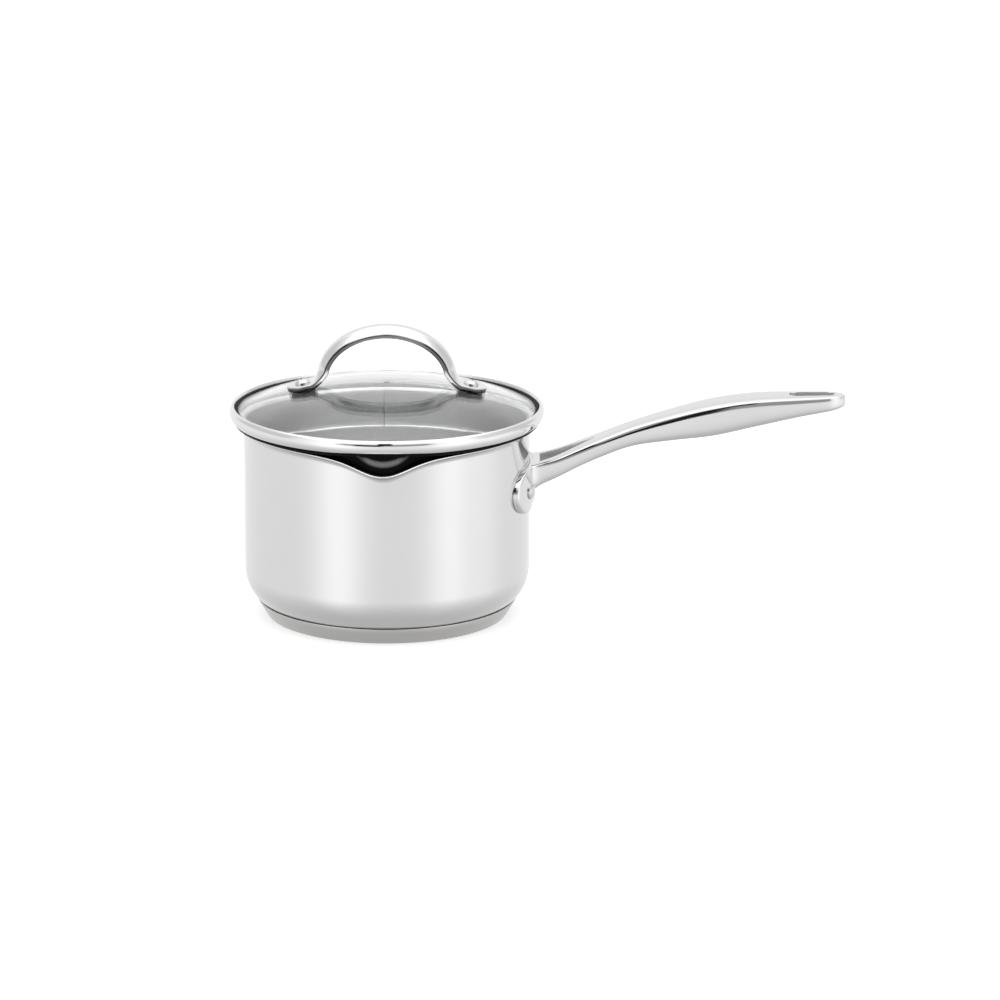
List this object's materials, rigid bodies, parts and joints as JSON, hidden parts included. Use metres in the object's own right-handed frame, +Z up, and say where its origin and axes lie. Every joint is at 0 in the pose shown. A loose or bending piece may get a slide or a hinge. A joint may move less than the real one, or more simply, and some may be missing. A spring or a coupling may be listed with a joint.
{
  "type": "saucepan with glass lid",
  "caption": "Small stainless saucepan with a front pouring spout, a long riveted side handle, a capsule base and a lift-off domed glass lid with a steel band and strap handle.",
  "frame": {"origin": "centre of the flat underside of the base, where the pan's axis meets the hob", "axes": "+Z up along the pan's axis, +X along the long handle, the pouring spout faces -Y"},
  "size_m": [0.348, 0.1837, 0.1673],
  "materials": {
    "polished_steel": "mirror-polished stainless steel",
    "core_aluminium": "plain rolled disc, sealed inside the base",
    "brushed_steel": "circular brushed stainless steel",
    "cast_steel": "polished cast stainless steel",
    "fixing_steel": "polished stainless steel fixing",
    "lid_glass": "clear tempered glass",
    "black_silicone": "satin black silicone"
  },
  "bodies": {
    "pan": {"pan_body": "polished_steel", "base_core": "core_aluminium", "base_cap": "brushed_steel", "handle": "cast_steel", "rivet_near": "fixing_steel", "rivet_far": "fixing_steel"},
    "lid": {"lid_glass": "lid_glass", "lid_band": "polished_steel", "glass_gasket": "black_silicone", "seat_gasket": "black_silicone", "lid_handle": "cast_steel", "screw_left": "fixing_steel", "screw_right": "fixing_steel", "pad_left": "black_silicone", "pad_right": "black_silicone", "washer_left": "black_silicone", "washer_right": "black_silicone", "nut_left": "fixing_steel", "nut_right": "fixing_steel"}
  },
  "joints": [
    {"name": "lid_lift", "type": "slide", "parent": "pan", "child": "lid", "axis": [0, 0, 1], "range_m": [0, 0.08]}
  ]
}
